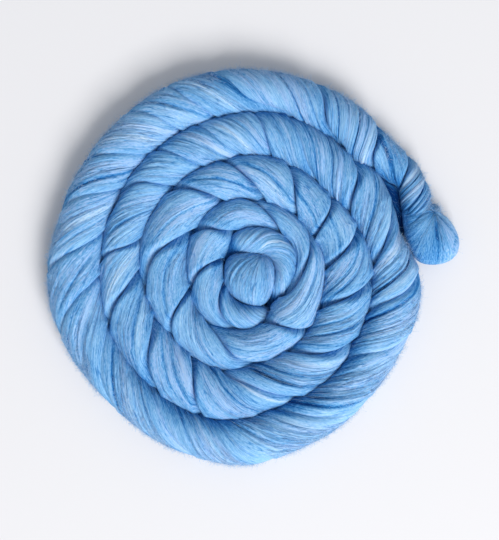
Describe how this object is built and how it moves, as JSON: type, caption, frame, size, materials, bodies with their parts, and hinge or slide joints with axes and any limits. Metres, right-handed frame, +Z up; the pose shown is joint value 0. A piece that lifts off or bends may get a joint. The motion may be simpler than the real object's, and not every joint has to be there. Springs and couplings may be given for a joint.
{
  "type": "wool roving",
  "caption": "Hank of combed wool roving, doubled and twisted on itself into a two-ply rope and coiled flat, with a loop end outside and a rounded knob at the centre.",
  "frame": {"origin": "centre of the coil's bounding box, on the surface it lies on", "axes": "+Z up through the thickness of the flat coil, +X towards the side where the loop end sticks out, along the coil's longest extent, +Y across"},
  "size_m": [0.2883, 0.2769, 0.03],
  "materials": {
    "wool": "blended pale, mid and dark blue wool fibres with a soft sheen"
  },
  "bodies": {
    "root": {"roving_coil": "wool"}
  },
  "joints": []
}
